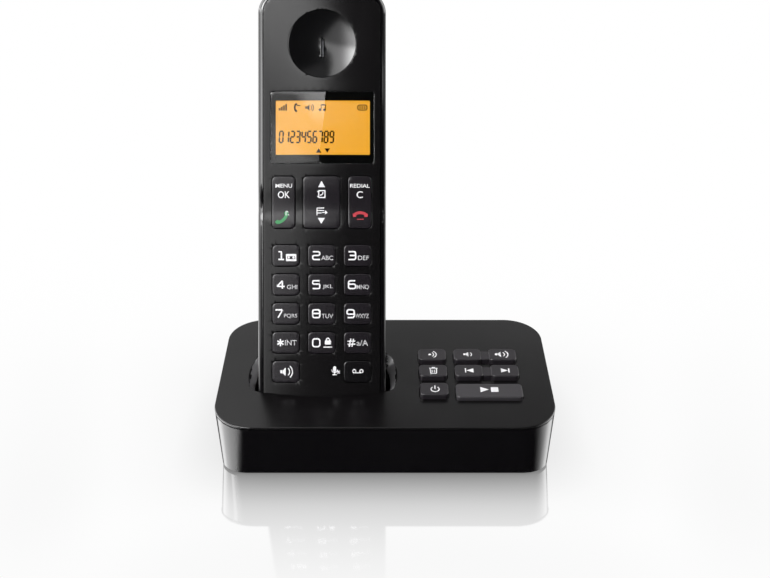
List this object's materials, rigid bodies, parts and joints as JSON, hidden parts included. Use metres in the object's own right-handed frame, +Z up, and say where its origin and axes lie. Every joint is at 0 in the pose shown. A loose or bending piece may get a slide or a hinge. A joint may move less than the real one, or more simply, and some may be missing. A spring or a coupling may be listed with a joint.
{
  "type": "cordless phone with answering-machine base",
  "caption": "Cordless handset with a lit display and a keypad, standing in a sloping answering-machine base with its own keys, a cradle well and two sockets behind.",
  "frame": {"origin": "middle of the telephone's bounding box in plan, on the surface that its four rubber feet stand on", "axes": "+Z up, +Y from front to back, +X to the right as seen from in front"},
  "size_m": [0.123, 0.0976, 0.1581],
  "materials": {
    "matt_black": "fine matt moulding texture",
    "satin_black": "satin, smooth",
    "gloss_black": "polished",
    "key_black": "satin, printed in light grey",
    "dark_window": "polished window, clear over the display",
    "amber_display": "lit amber field with dark segments",
    "board_green": "solder resist",
    "rubber_grey": "matt",
    "nickel": "plated",
    "steel": "plain",
    "cell_sleeve": "plain printed sleeve"
  },
  "bodies": {
    "base": {"top_cover": "matt_black", "base_housing": "gloss_black", "bottom_cover": "matt_black", "base_key_mat": "rubber_grey", "base_board": "board_green", "base_speaker": "steel", "line_socket": "matt_black", "power_socket": "matt_black", "base_screw_left": "steel", "base_screw_right": "steel", "foot_front_left": "rubber_grey", "foot_front_right": "rubber_grey", "foot_back_left": "rubber_grey", "foot_back_right": "rubber_grey"},
    "handset": {"front_cover": "gloss_black", "face_panel": "satin_black", "earpiece_dish": "satin_black", "display_lens": "dark_window", "display_module": "amber_display", "keypad_mat": "rubber_grey", "handset_board": "board_green", "earpiece_speaker": "steel", "ringer_speaker": "steel", "microphone": "steel", "rear_cover": "satin_black", "cell_left": "cell_sleeve", "cell_right": "cell_sleeve", "battery_bridge": "nickel", "battery_terminal_left": "nickel", "battery_terminal_right": "nickel", "charge_contact_left": "nickel", "charge_contact_right": "nickel", "handset_screw_left": "steel", "handset_screw_right": "steel"},
    "battery_door": {"battery_door": "satin_black"},
    "key_1": {"key_1": "key_black"},
    "key_2": {"key_2": "key_black"},
    "key_3": {"key_3": "key_black"},
    "key_4": {"key_4": "key_black"},
    "key_5": {"key_5": "key_black"},
    "key_6": {"key_6": "key_black"},
    "key_7": {"key_7": "key_black"},
    "key_8": {"key_8": "key_black"},
    "key_9": {"key_9": "key_black"},
    "key_star": {"key_star": "key_black"},
    "key_0": {"key_0": "key_black"},
    "key_hash": {"key_hash": "key_black"},
    "speaker_key": {"speaker_key": "key_black"},
    "message_key": {"message_key": "key_black"},
    "menu_call_key": {"menu_call_key": "key_black"},
    "nav_key": {"nav_key": "key_black"},
    "redial_end_key": {"redial_end_key": "key_black"},
    "charge_pin_left": {"charge_pin_left": "nickel"},
    "charge_pin_right": {"charge_pin_right": "nickel"},
    "page_key": {"page_key": "key_black"},
    "delete_key": {"delete_key": "key_black"},
    "power_key": {"power_key": "key_black"},
    "play_key": {"play_key": "key_black"},
    "volume_key": {"volume_key": "key_black"},
    "skip_key": {"skip_key": "key_black"}
  },
  "joints": [
    {"name": "handset_lift", "type": "slide", "parent": "base", "child": "handset", "axis": [0, 0.4026, 0.9154], "range_m": [0, 0.045]},
    {"name": "battery_door_slide", "type": "slide", "parent": "handset", "child": "battery_door", "axis": [0, -0.4026, -0.9154], "range_m": [0, 0.01]},
    {"name": "key_1_press", "type": "slide", "parent": "handset", "child": "key_1", "axis": [0, 0.9154, -0.4026], "range_m": [0, 0.0005], "stiffness_N_per_m": 1500},
    {"name": "key_2_press", "type": "slide", "parent": "handset", "child": "key_2", "axis": [0, 0.9154, -0.4026], "range_m": [0, 0.0005], "stiffness_N_per_m": 1500},
    {"name": "key_3_press", "type": "slide", "parent": "handset", "child": "key_3", "axis": [0, 0.9154, -0.4026], "range_m": [0, 0.0005], "stiffness_N_per_m": 1500},
    {"name": "key_4_press", "type": "slide", "parent": "handset", "child": "key_4", "axis": [0, 0.9154, -0.4026], "range_m": [0, 0.0005], "stiffness_N_per_m": 1500},
    {"name": "key_5_press", "type": "slide", "parent": "handset", "child": "key_5", "axis": [0, 0.9154, -0.4026], "range_m": [0, 0.0005], "stiffness_N_per_m": 1500},
    {"name": "key_6_press", "type": "slide", "parent": "handset", "child": "key_6", "axis": [0, 0.9154, -0.4026], "range_m": [0, 0.0005], "stiffness_N_per_m": 1500},
    {"name": "key_7_press", "type": "slide", "parent": "handset", "child": "key_7", "axis": [0, 0.9154, -0.4026], "range_m": [0, 0.0005], "stiffness_N_per_m": 1500},
    {"name": "key_8_press", "type": "slide", "parent": "handset", "child": "key_8", "axis": [0, 0.9154, -0.4026], "range_m": [0, 0.0005], "stiffness_N_per_m": 1500},
    {"name": "key_9_press", "type": "slide", "parent": "handset", "child": "key_9", "axis": [0, 0.9154, -0.4026], "range_m": [0, 0.0005], "stiffness_N_per_m": 1500},
    {"name": "key_star_press", "type": "slide", "parent": "handset", "child": "key_star", "axis": [0, 0.9154, -0.4026], "range_m": [0, 0.0005], "stiffness_N_per_m": 1500},
    {"name": "key_0_press", "type": "slide", "parent": "handset", "child": "key_0", "axis": [0, 0.9154, -0.4026], "range_m": [0, 0.0005], "stiffness_N_per_m": 1500},
    {"name": "key_hash_press", "type": "slide", "parent": "handset", "child": "key_hash", "axis": [0, 0.9154, -0.4026], "range_m": [0, 0.0005], "stiffness_N_per_m": 1500},
    {"name": "speaker_key_press", "type": "slide", "parent": "handset", "child": "speaker_key", "axis": [0, 0.9154, -0.4026], "range_m": [0, 0.0005], "stiffness_N_per_m": 1500},
    {"name": "message_key_press", "type": "slide", "parent": "handset", "child": "message_key", "axis": [0, 0.9154, -0.4026], "range_m": [0, 0.0005], "stiffness_N_per_m": 1500},
    {"name": "menu_call_rock", "type": "hinge", "parent": "handset", "child": "menu_call_key", "pos_m": [-0.03715, 0.00253, 0.08614], "axis": [1, 0, 0], "range_deg": [-2.4, 2.4], "stiffness_Nm_per_rad": 0.3},
    {"name": "nav_rock", "type": "hinge", "parent": "handset", "child": "nav_key", "pos_m": [-0.0232, 0.00253, 0.08614], "axis": [1, 0, 0], "range_deg": [-2.4, 2.4], "stiffness_Nm_per_rad": 0.3},
    {"name": "redial_end_rock", "type": "hinge", "parent": "handset", "child": "redial_end_key", "pos_m": [-0.00925, 0.00253, 0.08614], "axis": [1, 0, 0], "range_deg": [-2.4, 2.4], "stiffness_Nm_per_rad": 0.3},
    {"name": "charge_pin_left_press", "type": "slide", "parent": "base", "child": "charge_pin_left", "axis": [0, -0.4026, -0.9154], "range_m": [0, 0.0007], "stiffness_N_per_m": 400},
    {"name": "charge_pin_right_press", "type": "slide", "parent": "base", "child": "charge_pin_right", "axis": [0, -0.4026, -0.9154], "range_m": [0, 0.0007], "stiffness_N_per_m": 400},
    {"name": "page_key_press", "type": "slide", "parent": "base", "child": "page_key", "axis": [0, 0.1231, -0.9924], "range_m": [0, 0.0005], "stiffness_N_per_m": 1500},
    {"name": "delete_key_press", "type": "slide", "parent": "base", "child": "delete_key", "axis": [0, 0.1231, -0.9924], "range_m": [0, 0.0005], "stiffness_N_per_m": 1500},
    {"name": "power_key_press", "type": "slide", "parent": "base", "child": "power_key", "axis": [0, 0.1231, -0.9924], "range_m": [0, 0.0005], "stiffness_N_per_m": 1500},
    {"name": "play_key_press", "type": "slide", "parent": "base", "child": "play_key", "axis": [0, 0.1231, -0.9924], "range_m": [0, 0.0005], "stiffness_N_per_m": 1500},
    {"name": "volume_rock", "type": "hinge", "parent": "base", "child": "volume_key", "pos_m": [0.0381, -0.00554, 0.02326], "axis": [0, 0.9924, 0.1231], "range_deg": [-2.2, 2.2], "stiffness_Nm_per_rad": 0.3},
    {"name": "skip_rock", "type": "hinge", "parent": "base", "child": "skip_key", "pos_m": [0.0381, -0.01615, 0.02194], "axis": [0, 0.9924, 0.1231], "range_deg": [-2.2, 2.2], "stiffness_Nm_per_rad": 0.3}
  ]
}
